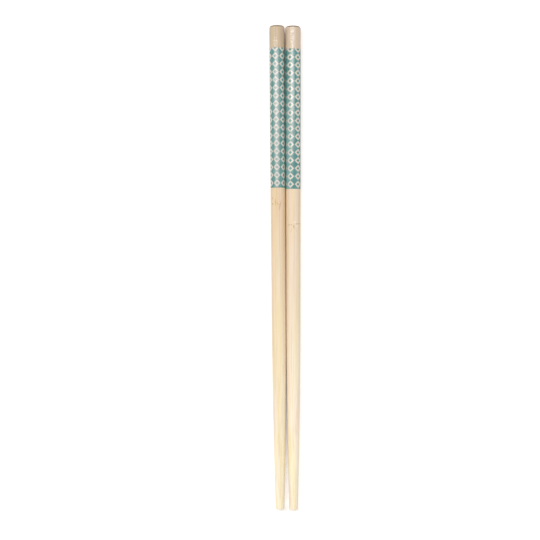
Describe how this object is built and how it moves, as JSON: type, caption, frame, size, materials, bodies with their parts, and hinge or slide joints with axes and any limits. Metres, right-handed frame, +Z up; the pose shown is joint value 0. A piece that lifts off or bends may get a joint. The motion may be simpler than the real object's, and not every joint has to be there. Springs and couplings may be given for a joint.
{
  "type": "pair of bamboo chopsticks",
  "caption": "Slim round bamboo chopsticks lying side by side, each tapering to a blunt tip, with a teal patterned band round the glossy handle.",
  "frame": {"origin": "on the surface that the pair lies on, under the middle of the pair", "axes": "+Z up; +Y along the sticks towards the handle ends; +X across the pair, from the left stick to the right one"},
  "size_m": [0.0156, 0.2402, 0.0076],
  "materials": {
    "printed_bamboo": "pale fine-grained bamboo, satin on the shaft, with a clear gloss coat and a printed teal band on the handle"
  },
  "bodies": {
    "root": {"left_chopstick": "printed_bamboo", "right_chopstick": "printed_bamboo"}
  },
  "joints": []
}
